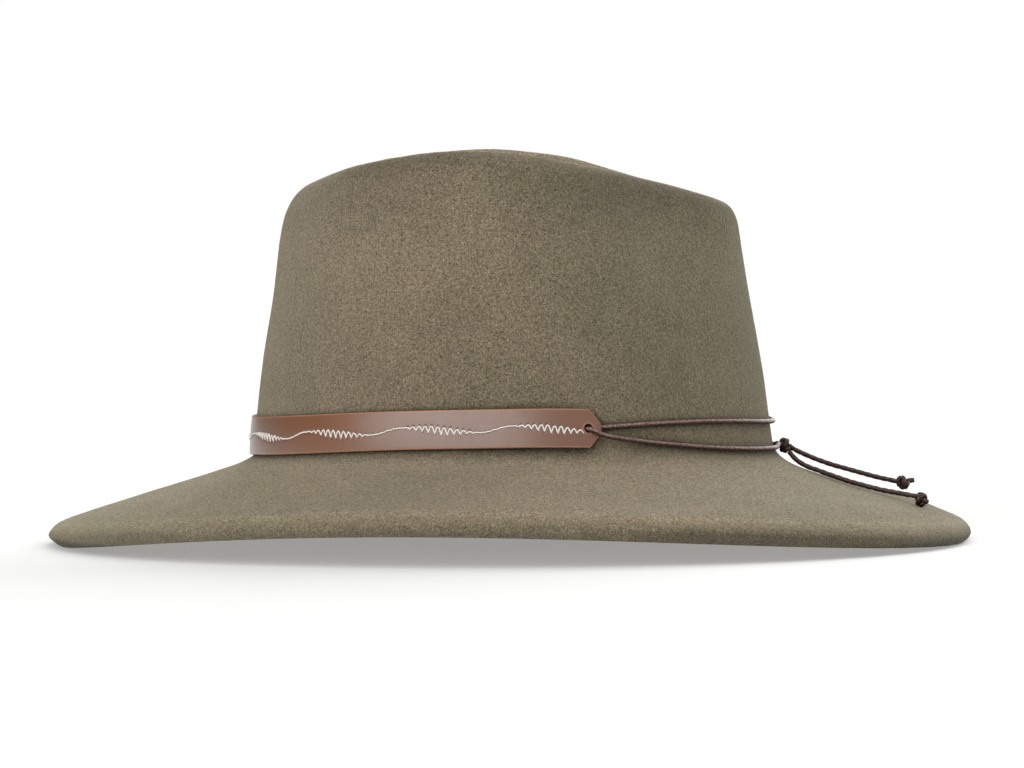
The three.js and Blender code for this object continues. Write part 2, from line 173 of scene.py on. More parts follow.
def section_points(angle):
    """Each section's point at each angle, with one more point past each end."""
    c, s = np.cos(np.radians(angle)), np.sin(np.radians(angle))
    turn = signed(angle)
    rows = []
    for name, front, back, side, egg, pinch, uneven, heights, _ in SECTIONS:
        reach = (front + back) / 2 + (front - back) / 2 * c
        narrowed = 1 - pinch / max(side, 1) * bump_at(abs(turn), PINCH_ANGLE, PINCH_SPREAD)
        rise = FAR_RIDGE_RISE * uneven * bump_at(turn, FAR_RIDGE_ANGLE, FAR_RIDGE_SPREAD)
        z = cosine_series(heights, angle) + rise
        if name == "cut_edge":
            z = np.maximum(0, z - REST_FLAT)
        rows.append(np.stack([reach * c * narrowed, side * (1 + egg * c) * s * narrowed, z], -1))
    return with_ends(np.stack(rows, 1))


def felt(angle, share):
    """Points of the felt's outer face at angles and shares of the way from its edge to the dent."""
    angle, share = np.broadcast_arrays(np.asarray(angle, float), np.asarray(share, float))
    p = section_points(angle.ravel())
    at = np.clip(share.ravel(), 0, 1) * LAST
    i = np.minimum(at.astype(int), LAST - 1)
    n = np.arange(len(i))
    points = spline_segment(p[n, i], p[n, i + 1], p[n, i + 2], p[n, i + 3], (at - i)[:, None])
    return points.reshape(angle.shape + (3,))


def felt_normal(angle, share):
    """The felt's outward directions, from its points a short way to both sides."""
    turn, rise = 0.5, 0.002
    along = felt(angle + turn, share) - felt(angle - turn, share)
    up = felt(angle, share + rise) - felt(angle, share - rise)
    return unit(np.cross(along, up))


def wall_share(angle, height):
    """The shares at which the crown's wall has a height, found by halving."""
    low = np.full(np.shape(angle), AT["brim_inner"] / LAST)
    high = np.full(np.shape(angle), AT["under_crest"] / LAST)
    halvings = 30
    for _ in range(halvings):
        middle = (low + high) / 2
        below = felt(angle, middle)[..., 2] < height
        low, high = np.where(below, middle, low), np.where(below, high, middle)
    return (low + high) / 2


def off_wall(angle, height, standoff):
    """Points that stand off the crown's wall."""
    angle, height, standoff = (np.asarray(x, float) for x in (angle, height, standoff))
    share = wall_share(angle, height)
    return felt(angle, share) + felt_normal(angle, share) * standoff[..., None]


def band_standoff(angle):
    """How far the band's back stands off the felt: its ends are lifted, to leave room for the cord."""
    from_end = np.minimum(angle - BAND_END_ANGLE, 360 - BAND_END_ANGLE - angle)
    seated = smoothstep(from_end, BAND_LIFTED_ANGLE, BAND_SEATED_ANGLE)
    return BAND_LIFT + (BAND_SEAT_GAP - BAND_LIFT) * seated


def band_frame(angle):
    """The band's middle on its back face, its up and its outward direction, at each angle."""
    angle = np.asarray(angle, float)
    bottom, standoff = cosine_series(BAND_BOTTOM, angle), band_standoff(angle)
    low = off_wall(angle, bottom, standoff)
    high = off_wall(angle, bottom + BAND_WIDTH, standoff)
    across = unit(high - low)
    out = felt_normal(angle, wall_share(angle, bottom + BAND_WIDTH / 2))
    out = unit(out - (out * across).sum(-1, keepdims=True) * across)
    return (low + high) / 2, across, out


# Meshes
STRANDS, BRAID_PITCH, BRAID_DEPTH = 4, 3.4, 0.11


def grid_faces(rows, columns, closed=False):
    """Quads over rows of columns points each, joined back to the first column if closed."""
    across = columns if closed else columns - 1
    r, c = np.meshgrid(np.arange(rows - 1), np.arange(across), indexing="ij")
    a, b = r * columns + c, r * columns + (c + 1) % columns
    return np.stack([a, b, b + columns, a + columns], -1).reshape(-1, 4)


def make_piece(name, points, faces, materials, face_material=None, sharp=None):
    """A smooth mesh object from points in millimetres and lists of faces. Edges that turn more
    than sharp degrees stay sharp."""
    mesh = bpy.data.meshes.new(name)
    mesh.from_pydata((np.asarray(points) * MM).tolist(), [], [list(map(int, f)) for f in faces])
    for material in materials:
        mesh.materials.append(material)
    mesh.polygons.foreach_set("use_smooth", [True] * len(mesh.polygons))
    if face_material is not None:
        mesh.polygons.foreach_set("material_index", np.asarray(face_material, int).tolist())
    if sharp:
        mesh.set_sharp_from_angle(angle=math.radians(sharp))
    mesh.update()
    piece = bpy.data.objects.new(name, mesh)
    bpy.context.scene.collection.objects.link(piece)
    return piece


def mark_points(piece, **values):
    """Gives the mesh a named number at each of its points, for a material to read."""
    for name, value in values.items():
        attribute = piece.data.attributes.new(name, "FLOAT", "POINT")
        attribute.data.foreach_set("value", np.ravel(value))


def carried_sides(points):
    """Two sideways directions at each point of a line, carried along it without a twist."""
    tangent = unit(np.gradient(points, axis=0))
    start = np.cross([0.0, 0.0, 1.0], tangent[0])
    if np.linalg.norm(start) <= 0.1:
        start = np.cross([1.0, 0.0, 0.0], tangent[0])
    side = np.empty_like(points)
    side[0] = unit(start)
    for i in range(1, len(points)):
        side[i] = unit(side[i - 1] - tangent[i] * (side[i - 1] @ tangent[i]))
    return side, np.cross(tangent, side)


def turns_round(sides):
    """The angle of each side round a tube, in radians."""
    return 2 * np.pi * np.arange(sides) / sides


def tube_mesh(points, radius, sides):
    """Points and faces of a closed round tube. radius is one number, or one for each point and
    side."""
    side, up = carried_sides(points)
    turn = turns_round(sides)
    radius = np.broadcast_to(radius, (len(points), sides))[..., None]
    out = np.cos(turn)[:, None] * side[:, None] + np.sin(turn)[:, None] * up[:, None]
    rings = points[:, None] + radius * out
    faces = grid_faces(len(points), sides, closed=True).tolist()
    faces.append(list(range(sides))[::-1])
    faces.append(list(range((len(points) - 1) * sides, len(points) * sides)))
    return rings.reshape(-1, 3), faces


def braided_radius(points, radius, sides):
    """A braided cord's radius at each point and side: two families of strands that cross."""
    turn = turns_round(sides)
    along = 2 * np.pi * run_length(points)[:, None] / BRAID_PITCH
    crossing = np.maximum(np.cos(STRANDS * turn + along), np.cos(STRANDS * turn - along))
    return radius * (1 - BRAID_DEPTH * (1 - crossing))


# Materials
MIX_FACTOR, MIX_FIRST, MIX_SECOND, MIX_COLOUR = 0, 6, 7, 2  # the mix node's sockets for colours


class Shade:
    """A material's node tree, with short calls that add nodes to it."""

    def __init__(self, name, inputs=None):
        self.material = bpy.data.materials.new(name)
        self.material.use_nodes = True
        self.tree = self.material.node_tree
        self.surface = self.tree.nodes["Principled BSDF"]
        self.place = self.add("ShaderNodeTexCoord").outputs["Object"]
        self.fill(self.surface, inputs or {})

    def fill(self, node, inputs):
        """Sets a node's inputs, each to a value or to another node's output."""
        for key, value in inputs.items():
            if isinstance(value, bpy.types.NodeSocket):
                self.tree.links.new(value, node.inputs[key])
            else:
                node.inputs[key].default_value = value

    def add(self, kind, inputs=None, **settings):
        node = self.tree.nodes.new(kind)
        for key, value in settings.items():
            setattr(node, key, value)
        self.fill(node, inputs or {})
        return node

    def marked(self, name):
        """The number that mark_points gave the mesh under a name."""
        return self.add("ShaderNodeAttribute", attribute_name=name).outputs["Fac"]

    def painted_occlusion(self, distance):
        """1 in the open, and less where something within the distance in metres is in the way; multiplied
        into a colour, it paints shade.
        """
        inputs = {"Distance": distance}
        return self.add("ShaderNodeAmbientOcclusion", inputs, samples=6).outputs["AO"]

    def stretched(self, vector, scale):
        return self.add("ShaderNodeMapping", {"Vector": vector, "Scale": scale}).outputs["Vector"]

    def noise(self, scale, detail=3, roughness=0.55, vector=None, distortion=0):
        inputs = {"Vector": vector or self.place, "Scale": scale, "Detail": detail}
        inputs |= {"Roughness": roughness, "Distortion": distortion}
        return self.add("ShaderNodeTexNoise", inputs).outputs[0]

    def span(self, value, low, high, new_low=0.0, new_high=1.0):
        """Maps low to new_low and high to new_high, and holds past both."""
        inputs = {"Value": value, "From Min": low, "From Max": high}
        inputs |= {"To Min": new_low, "To Max": new_high}
        return self.add("ShaderNodeMapRange", inputs).outputs["Result"]

    def maths(self, operation, a, b=0.0, c=0.0):
        node = self.add("ShaderNodeMath", {0: a, 1: b, 2: c}, operation=operation)
        return node.outputs["Value"]

    def product(self, *factors):
        total = factors[0]
        for factor in factors[1:]:
            total = self.maths("MULTIPLY", total, factor)
        return total

    def mix(self, factor, first, second, blend="MIX"):
        inputs = {MIX_FACTOR: factor, MIX_FIRST: first, MIX_SECOND: second}
        node = self.add("ShaderNodeMix", inputs, data_type="RGBA", blend_type=blend)
        return node.outputs[MIX_COLOUR]

    def bump(self, height, strength, distance):
        inputs = {"Height": height, "Strength": strength, "Distance": distance}
        return self.add("ShaderNodeBump", inputs).outputs["Normal"]

    def finish(self, colour, **inputs):
        self.fill(self.surface, {"Base Color": colour} | inputs)
        return self.material


def rgb(red, green, blue):
    """A colour as it looks on a screen, 0 to 255, as linear light."""
    parts = [c / 255 for c in (red, green, blue)]
    return (*[c / 12.92 if c <= 0.04045 else ((c + 0.055) / 1.055) ** 2.4 for c in parts], 1.0)


def felt_material():
    """Wool felt: olive and brown patches, a fine grain, pale fibres and a soft nap, with painted shade,
    painted highlights and a painted pool of light in its colour.
    """
    olive, brown, sandy = rgb(121, 114, 91), rgb(129, 117, 96), rgb(139, 130, 107)
    lit_pink_brown, pale_fibre, nap = rgb(146, 126, 108), rgb(178, 169, 144), rgb(242, 233, 205)
    sheen = {"Sheen Weight": 0.46, "Sheen Roughness": 0.4, "Sheen Tint": nap}
    matt = {"Diffuse Roughness": 1.0, "Specular IOR Level": 0.15, "Roughness": 0.95}
    m = Shade("wool_felt", sheen | matt)
    patches = m.span(m.noise(17), 0.35, 0.65)
    mottle = m.span(m.noise(85, detail=4, roughness=0.6), 0.33, 0.67)
    # where the felt lies flat, its grain is drawn out along the way it was brushed
    combed = m.stretched(m.place, (0.88, 0.32, 1))
    upright, lying = (m.noise(1850, 2, 0.65, place, 0.6) for place in (m.place, combed))
    difference = m.maths("SUBTRACT", lying, upright)
    grain = m.maths("MULTIPLY_ADD", difference, m.marked("lies_flat"), upright)
    clumps = m.noise(700, roughness=0.65)
    fibres = m.noise(2300, 2, 0.6, combed, 1.4)
    tone = m.mix(patches, olive, brown)
    tone = m.mix(m.maths("MULTIPLY", mottle, 0.55), tone, sandy)
    # a painted pool of light, in a pinkish tone
    tone = m.mix(m.marked("faded"), tone, lit_pink_brown)
    # each factor is about 1 where nothing makes the felt darker or paler; two of them are painted shade
    # and painted highlight
    shade = m.product(
        m.span(grain, 0.27, 0.73, 0.13, 1.87),
        m.span(clumps, 0.3, 0.7, 0.78, 1.22),
        # painted shade and painted highlights, from the felt's marks
        m.span(m.marked("darker"), -1.5, 2.5, 1.42, 0.29),
        # painted shade in hollows and next to the band and cord
        m.span(m.painted_occlusion(0.005), 0.45, 0.93, 0.04, 1.0),
        m.span(patches, 0, 1, 0.95, 1.05),
    )
    tone = m.mix(1.0, tone, shade, "MULTIPLY")
    tone = m.mix(m.span(fibres, 0.6, 0.75, 0.0, 0.45), tone, pale_fibre)
    height = m.maths("ADD", m.maths("ADD", grain, clumps), m.maths("MULTIPLY", fibres, 0.6))
    return m.finish(tone, Normal=m.bump(height, 0.9, 0.0008))


def leather_material():
    """Smooth mid-brown leather: warm patches, fine streaks along the strap and a satin finish."""
    brown, warm_brown, orange_brown = rgb(110, 67, 38), rgb(117, 71, 37), rgb(138, 77, 28)
    streak, pore = rgb(100, 66, 44), rgb(132, 92, 64)
    rubbed, needle_hole_shade = rgb(158, 100, 62), rgb(38, 24, 17)
    m = Shade("band_leather", {"Coat Weight": 1.0, "Coat Roughness": 0.33, "Specular IOR Level": 0.7})
    strap_chart = m.add("ShaderNodeUVMap", uv_map="strap").outputs["UV"]
    streaks = m.noise(1, 4, 0.6, m.stretched(strap_chart, (30, 1400, 1)))
    pores = m.noise(1700, roughness=0.6)
    patches = m.span(m.noise(32), 0.35, 0.65)
    tone = m.mix(patches, brown, warm_brown)
    tone = m.mix(m.marked("warmer"), tone, orange_brown)
    tone = m.mix(m.span(streaks, 0.35, 0.75, 0.0, 0.35), tone, streak)
    tone = m.mix(m.span(pores, 0.35, 0.65, 0.0, 0.2), tone, pore)
    tone = m.mix(m.maths("MULTIPLY", m.marked("worn"), 0.8), tone, rubbed)
    # painted shade in the needle holes, over their shallow pits
    tone = m.mix(m.marked("needle"), tone, needle_hole_shade)
    rough = m.span(m.noise(260), 0.3, 0.7, 0.36, 0.48)
    height = m.maths("ADD", m.maths("MULTIPLY", pores, 0.6), streaks)
    return m.finish(tone, Roughness=rough, Normal=m.bump(height, 0.25, 0.0001))


def raw_edge_material():
    """The leather's cut edge: paler, matt and fibrous."""
    m = Shade("leather_cut_edge", {"Roughness": 0.75})
    fibres = m.noise(1500, detail=4, roughness=0.7)
    tone = m.mix(m.span(fibres, 0.3, 0.7), rgb(140, 98, 70), rgb(176, 132, 102))
    return m.finish(tone, Normal=m.bump(fibres, 0.5, 0.0002))


def cord_material(name, dark, light, wax_and_highlight):
    """Waxed cotton: brown, with painted shade between the strands and where the felt is near, pale wax
    specks, and a painted highlight on its upper side.
    """
    shade_between_strands, speck, painted_highlight_tone = rgb(26, 18, 15), rgb(165, 148, 138), rgb(182, 154, 144)
    m = Shade(name, {"Specular IOR Level": 0.15})
    specks = m.noise(2000, 2, 0.6)
    shades = m.noise(420)
    tone = m.mix(m.span(shades, 0.3, 0.7), dark, light)
    # painted shade between the strands
    tone = m.mix(m.span(m.marked("raised"), 0.1, 0.9, 0.75, 0.0), tone, shade_between_strands)
    tone = m.mix(m.span(specks, 0.56, 0.7, 0.0, 0.5 * wax_and_highlight), tone, speck)
    # a painted highlight on the cord's upper side, broken up by the wax specks
    painted_highlight_mix = m.product(m.marked("upper"), m.span(specks, 0.4, 0.6, 0.15 * wax_and_highlight, 1.1 * wax_and_highlight))
    tone = m.mix(painted_highlight_mix, tone, painted_highlight_tone)
    # painted shade where the felt or another cord is near
    tone = m.mix(1.0, tone, m.span(m.painted_occlusion(0.003), 0.3, 0.85, 0.12, 1.0), "MULTIPLY")
    rough = m.span(shades, 0.3, 0.7, 0.42, 0.6)
    return m.finish(tone, Roughness=rough, Normal=m.bump(specks, 0.4, 0.00015))


def thread_material():
    """White thread with a faint lint."""
    m = Shade("white_thread", {"Roughness": 0.6, "Sheen Weight": 0.2})
    lint = m.span(m.noise(3000, detail=2), 0.3, 0.7)
    return m.finish(m.mix(lint, rgb(238, 232, 224), rgb(252, 250, 246)))


FELT, LEATHER, RAW_EDGE = felt_material(), leather_material(), raw_edge_material()
# the last number sets the pale wax specks and the painted top highlight; the rubbed cord is paler and has
# more of both
CORD = cord_material("waxed_cord", rgb(46, 30, 24), rgb(62, 42, 34), 0.22)
RUBBED_CORD = cord_material("rubbed_cord", rgb(58, 40, 35), rgb(86, 62, 56), 0.78)
THREAD = thread_material()

# The camera: a level line of sight falls on HORIZON_ROW of the picture
CAMERA_ASIDE, CAMERA_DISTANCE, CAMERA_HEIGHT, CAMERA_ROLL = 0.4, 2400, 149.05, 0.0053
FOCAL_PIXELS, FRAME_WIDTH, FRAME_HEIGHT, SENSOR = 6096, 1024, 768, 36
HORIZON_ROW, SHIFT_PIXELS = 162.5, 2
PITCH = math.atan((FRAME_HEIGHT / 2 - HORIZON_ROW) / FOCAL_PIXELS)

lens = bpy.data.cameras.new("camera")
lens.sensor_width, lens.sensor_fit = SENSOR, "HORIZONTAL"
lens.lens = FOCAL_PIXELS / FRAME_WIDTH * SENSOR
lens.shift_x = SHIFT_PIXELS / FRAME_WIDTH
lens.clip_start, lens.clip_end = 0.05, 60
camera = bpy.data.objects.new("camera", lens)
bpy.context.scene.collection.objects.link(camera)
right = Vector((1, 0, -CAMERA_ROLL)).normalized()
level_up, ahead = Vector((CAMERA_ROLL, 0, 1)).normalized(), Vector((0, 1, 0))
up = level_up * math.cos(PITCH) + ahead * math.sin(PITCH)
aimed = Matrix((right, up, right.cross(up))).transposed().to_4x4()
place = Vector((CAMERA_ASIDE, -CAMERA_DISTANCE, CAMERA_HEIGHT)) * MM
camera.matrix_world = Matrix.Translation(place) @ aimed
bpy.context.scene.camera = camera

# The cord: distances of its middle from the felt
BEHIND_BAND = CORD_RADIUS + CORD_GAP
OVER_BAND = BAND_LIFT + BAND_THICKNESS + BEHIND_BAND
IN_HOLE = (BEHIND_BAND + OVER_BAND) / 2
# The near half's angle, height and distance from the felt: from the tie knot along the crown and
# over the band's end, in at its hole, and out from behind the band to the front again.
CORD_ROUTE = [
    (2.2, 37, 2.2), (4.6, 36.7, 1.9), (8, 36.3, 1.6), (15, 36.4, 1.5), (29, 37.2, 1.45),
    (41, 38.4, 1.45), (52, 40.4, 1.5), (60, 41.9, 2.2), (66, 43.2, 4.6), (69, 44, OVER_BAND),
    (71.2, 45, OVER_BAND), (72.8, 46.2, OVER_BAND), (73.6, 46.8, OVER_BAND - 0.8),
    (73.8, 47, IN_HOLE), (73.6, 47.2, BEHIND_BAND + 0.8), (72.8, 47.5, BEHIND_BAND),
    (69, 47.9, BEHIND_BAND), (59, 48.7, BEHIND_BAND), (45, 49, BEHIND_BAND),
    (31, 48.4, BEHIND_BAND), (15, 47.3, BEHIND_BAND), (0, 46.9, BEHIND_BAND),
]
KNOT_CENTRE, KNOT_AXIS = np.array([108.1, 0, 37.1]), np.array([0.94, 0, -0.34])
INTO_KNOT = KNOT_CENTRE + [[-0.6, -0.2, 0.1], [-2.2, -0.8, 0.2]]
# Each tail's route over the brim, its end knot's centre, the free stub past that knot, how far
# the stub tilts up from the tail's direction, and the tail's length in metres.
TAILS = {
    "near": {
        "route": [
            (109.7, -0.8, 34.7), (112, -1.6, 32), (114.8, -2.5, 29.9), (117.8, -3.9, 28.5),
            (121, -5.4, 27.4), (124.1, -6.9, 26.3), (127.2, -8.5, 25.2), (130.3, -10.1, 24.2),
            (133.4, -11.7, 23.2), (136.5, -13.5, 22.4), (139.6, -15.2, 21.6), (142.6, -17, 20.9),
            (145.7, -18.9, 20.2), (148.8, -20.8, 19.7), (151.9, -22.7, 19.2), (154.9, -24.6, 18.7),
            (157.9, -26.6, 18.2),
        ],
        "knot": (159.8, -27.9, 17),
        "stub": 1.6,
        "tilt": -0.25,
        "length": 0.058,
    },
    "far": {
        "route": [
            (110.6, 1, 36.2), (113.4, 1.8, 34.7), (116.3, 2.6, 33.3), (119.3, 3.4, 32),
            (122.3, 4.3, 30.8), (125.3, 5.2, 29.7), (128.3, 6, 28.7), (131.4, 6.8, 27.8),
            (134.5, 7.6, 26.9), (137.6, 8.3, 26), (140.7, 9.1, 25.1), (143.8, 10, 24.2),
            (146.9, 11, 23.4), (150, 11.8, 22.7), (153.1, 12.7, 21.9),
        ],
        "knot": (155.4, 13.3, 21.5),
        "stub": 3.0,
        "tilt": 0.35,
        "length": 0.0465,
    },
}
CORD_SIDES, CORD_STEP = 20, 0.2
TIE_STEPS, TAIL_STEPS, KNOT_STEPS = 24, 12, 8
RING_KNOTS, RING_START = 16, -50
TIE_KNOT, TIE_KNOT_REACH = {"wrap": 2.05, "rise": 0.95, "turns": 1.6, "before": 1.6}, 2.6
END_KNOT, END_KNOT_REACH = {"wrap": 1.88, "rise": 1.0, "turns": 1.7, "before": 2.4}, 1.7


def cord_piece(name, points, material):
    """A braided cord along a line, with its strands marked for the painted shade between them and its
    upper side for a painted highlight.
    """
    points = spaced(points, CORD_STEP)
    radius = braided_radius(points, CORD_RADIUS, CORD_SIDES)
    rings, faces = tube_mesh(points, radius, CORD_SIDES)
    piece = make_piece(name, rings, faces, [material])
    full_depth = 2 * BRAID_DEPTH
    # how raised each point is, for the painted shade between the strands
    raised = (radius / CORD_RADIUS - 1 + full_depth) / full_depth
    rise = (rings[:, 2].reshape(radius.shape) - points[:, None, 2]) / CORD_RADIUS
    # where the painted highlight goes: the cord's upper side
    upper = smoothstep(rise, -0.3, 0.3) * (1 - 0.7 * smoothstep(rise, 0.6, 0.95))
    mark_points(piece, raised=raised, upper=upper)
    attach(piece, "root")
    return piece


def overhand_knot(name, centre, axis, wrap, rise, turns, before, after):
    """An overhand knot: a core along axis, wrapped round by its own cord, with both ends out. wrap
    is the wrapping's radius, rise is half its length, and before and after are how far the ends
    come out."""
    turn = np.radians(np.linspace(RING_START, RING_START + 360 * turns, RING_KNOTS))
    height = np.linspace(rise, -rise, RING_KNOTS)
    ring = np.stack([wrap * np.cos(turn), wrap * np.sin(turn), height], 1)
    toward_core, past_ring = [0.55, 0.55, 1], [0, 0, 0.75]
    leave, come_back = ring[0] * toward_core + past_ring, ring[-1] * toward_core - past_ring
    first = [(0.35, 0, -before), (0.4, 0, -rise - 0.6), (0.45, 0, 0), (0.5, -0.1, rise)]
    second = [(-0.5, 0.1, -rise), (-0.45, 0, 0), (-0.4, 0, rise + 0.6), (-0.35, 0, after)]
    local = np.concatenate([first, [leave], ring, [come_back], second])
    to_axis = np.array(Vector((0, 0, 1)).rotation_difference(Vector(axis)).to_matrix())
    return cord_piece(name, spline(local @ to_axis.T + np.asarray(centre), KNOT_STEPS), CORD)


along_crown = np.array([off_wall(-a, h, d) for a, h, d in CORD_ROUTE])
near_half = np.concatenate([INTO_KNOT, along_crown])
far_half = near_half[-2::-1] * [1, -1, 1]
tie_route = spline(np.concatenate([near_half, far_half]), TIE_STEPS)
tie_cord = cord_piece("waxed_tie_cord", tie_route, RUBBED_CORD)
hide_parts("tie_cord")
tie_knot = overhand_knot("waxed_tie_knot", KNOT_CENTRE, KNOT_AXIS, after=TIE_KNOT_REACH, **TIE_KNOT)
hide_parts("tie_knot")

for side, tail in TAILS.items():
    route = spline(tail["route"], TAIL_STEPS)
    piece = cord_piece(f"waxed_tail_{side}", route, CORD)
    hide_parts(f"cord_tail_{side}")
    last_stretch = route[-1] - route[-8]
    heading = unit(unit(last_stretch) + [0, 0, tail["tilt"]])
    reach = END_KNOT_REACH + tail["stub"]
    knot = overhand_knot(f"waxed_end_knot_{side}", tail["knot"], heading, after=reach, **END_KNOT)
    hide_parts(f"end_knot_{side}")

# The felt
FELT_COLUMNS, LAST_ROW = 360, 0.9995
CROWN_SWELL, BRIM_SWELL, LIP_SWELL, SWELL_ALL_OVER = 0.45, 0.35, 0.27, 0.05
LIP_SWELL_FINENESS = 12  # how many times shorter the lip's swells are
# each swell's wave vector and phase
SWELLS = [
    ((0.031, 0.017, 0.043), 0.4),
    ((-0.022, 0.048, 0.019), 1.9),
    ((0.067, -0.059, 0.071), 4.0),
    ((0.11, 0.09, -0.12), 2.2),
    ((-0.15, 0.13, 0.08), 5.1),
]
SWELL_PEAK = 3.2
SWELL_SETS_IN = (58, 75)  # the heights between which the crown's swell sets in
LIP_FADES = (AT["lip_top"] - 0.4, AT["lip_inner"] - 0.3)
SHOULDER_AT, SHOULDER_SPREAD = AT["shoulder"] + 0.2, 1.6
# how far out the shoulder goes, at which angle from the front, and the change's spread
SHOULDER_CHANGES = [(0.7, 152, 14), (-1, 180, 26), (-1.5, 0, 26)]
BACK_TIP_ROLL, BACK_TIP_SPREAD, ROLL_CURVE = 2.6, 40, 1.6
# how far the crest is lowered, where along the hat, and the change's spread
NEAR_DIP, FAR_DIP = (1.5, 26, 15), (0.6, 6, 26)
CREST_DIP_SPREAD = 1.8
# How much painted shade darkens the felt's colour, or, below 0, how much a painted highlight makes it
# paler. A triple is a value for the middle of the hat and what its front part and back part add to it.
FRONT_PART, BACK_PART = (30, 75), (115, 145)
UNDER_LIP_SHADE, LIP_REACH, LIP_TOP_HIGHLIGHT = (1, 0.8, 0.3), (0, 0.5, 0.6), (0.8, 0.4, -0.2)
CUT_EDGE_SHADE, RIM_SHADE = 0.25, 1.0
HIGH_WALL_SHADE, FRONT_WALL_SHADE, BELOW_CREST_SHADE, CREST_HIGHLIGHT = 0.75, 0.45, 0.9, 1.4
CROWN_BACK_SHADE, CROWN_FRONT_SHADE = 0.75, 0.35
LIT_PATCH_WALL, LIT_PATCH_BRIM = 0.3, 0.4


def unevenness(points):
    """Slow swells of a hand-shaped surface, between about -1 and 1."""
    total = sum(np.sin(points @ np.array(wave) + phase) for wave, phase in SWELLS)
    return total / SWELL_PEAK


def felt_grid():
    """Angles and shares of the felt's points, a column for each angle."""
    rows = [(i + np.arange(s.rows) / s.rows) / LAST for i, s in enumerate(SECTIONS)]
    angles = np.arange(FELT_COLUMNS) * 360 / FELT_COLUMNS
    return np.meshgrid(angles, np.concatenate([*rows, [LAST_ROW]]), indexing="ij")


def felt_surface(angle, share):
    """Points of the felt's finished outer face, and its outward directions."""
    outer, normal = felt(angle, share), felt_normal(angle, share)
    normal[:, 0, 2] = 0
    normal = unit(normal)
    at = share * LAST
    from_front = np.abs(signed(angle))
    on_crown = smoothstep(outer[..., 2], *SWELL_SETS_IN)
    on_brim = smoothstep(at, AT["lip_inner"], AT["brim_outer"])
    on_brim *= 1 - smoothstep(at, AT["brim_inner"], AT["break_out"])
    on_lip = 1 - smoothstep(at, *LIP_FADES)
    swell = unevenness(outer) * (CROWN_SWELL * on_crown + BRIM_SWELL * on_brim)
    shoulder = sum(out * bump_at(from_front, place, spread) for out, place, spread in SHOULDER_CHANGES)
    swell += shoulder * bump_at(at, SHOULDER_AT, SHOULDER_SPREAD)
    swell += unevenness(outer * LIP_SWELL_FINENESS) * (LIP_SWELL * on_lip + SWELL_ALL_OVER)
    outer = outer + normal * swell[..., None]
    low_edge = np.clip(1 - at, 0, 1) ** ROLL_CURVE
    roll = BACK_TIP_ROLL * bump_at(from_front, 180, BACK_TIP_SPREAD) * low_edge
    outer[..., :2] -= unit(outer[..., :2]) * roll[..., None]
    for (depth, place, spread), way in ((NEAR_DIP, -1), (FAR_DIP, 1)):
        on_side = smoothstep(way * np.sin(np.radians(angle)), 0, 0.5)
        dip = depth * on_side * bump_at(outer[..., 0], place, spread)
        outer[..., 2] -= dip * bump_at(at, AT["crest"], CREST_DIP_SPREAD)
    return outer, normal


def closed_shell(outer, inner):
    """Points and faces of two sheets, with three strips between their first rows and a cap on
    each one's last row."""
    columns, rows = outer.shape[:2]
    count = columns * rows
    between = [outer[:, 0] * (1 - k) + inner[:, 0] * k for k in (1 / 3, 2 / 3)]
    sheets = (outer, inner, np.stack(between, 1))
    points = np.concatenate([sheet.reshape(-1, 3) for sheet in sheets])
    column = np.arange(columns)
    shell = grid_faces(columns + 1, rows)[:, ::-1] % count
    lines = [column * rows, 2 * count + 2 * column, 2 * count + 2 * column + 1, count + column * rows]
    strips = [np.stack([a, b, np.roll(b, -1), np.roll(a, -1)], 1) for a, b in zip(lines, lines[1:])]
    top = column * rows + rows - 1
    faces = np.concatenate([shell, shell[:, ::-1] + count, *strips]).tolist()
    faces += [top.tolist(), (top[::-1] + count).tolist()]
    return points, faces


def by_part(values, along):
    """A value for the middle of the hat, with what its front and back parts add."""
    middle, front, back = values
    return middle + front * smoothstep(along, *FRONT_PART) + back * smoothstep(-along, *BACK_PART)


def lip_painted_shade(at, along):
    """Painted shade under the lip and on the cut edge, with a painted highlight along the lip's top."""
    above_edge = at - by_part(LIP_REACH, along)
    under_lip_shade = by_part(UNDER_LIP_SHADE, along) * (1 - smoothstep(above_edge, 0.25, 1.15))
    # painted shade on the felt's cut edge
    cut_edge = CUT_EDGE_SHADE * (1 - smoothstep(at, 0, 0.8))
    painted_highlight_line = by_part(LIP_TOP_HIGHLIGHT, along) * bump_at(at, AT["lip_top"] + 0.1, 0.55)
    return under_lip_shade + cut_edge - painted_highlight_line


def crest_painted_shade(at, along, height):
    """Painted shade high on the crown's wall and just below the crest, with a painted highlight just past
    it.
    """
    past_crest = at - AT["crest"]
    strength = HIGH_WALL_SHADE * (1 - bump_at(along, -10, 26)) + FRONT_WALL_SHADE * smoothstep(along, 0, 60)
    high_wall = smoothstep(height, 112, 142) * (1 - smoothstep(past_crest, -0.5, 0.1))
    behind_middle = smoothstep(-along, -2, 12) * (1 - smoothstep(-along, 55, 75))
    just_below = smoothstep(past_crest, -1.8, -0.8) * (1 - smoothstep(past_crest, -0.1, 0.2))
    painted_highlight_line = CREST_HIGHLIGHT * bump_at(past_crest, 0.4, 0.6)
    return strength * high_wall + BELOW_CREST_SHADE * behind_middle * just_below - painted_highlight_line


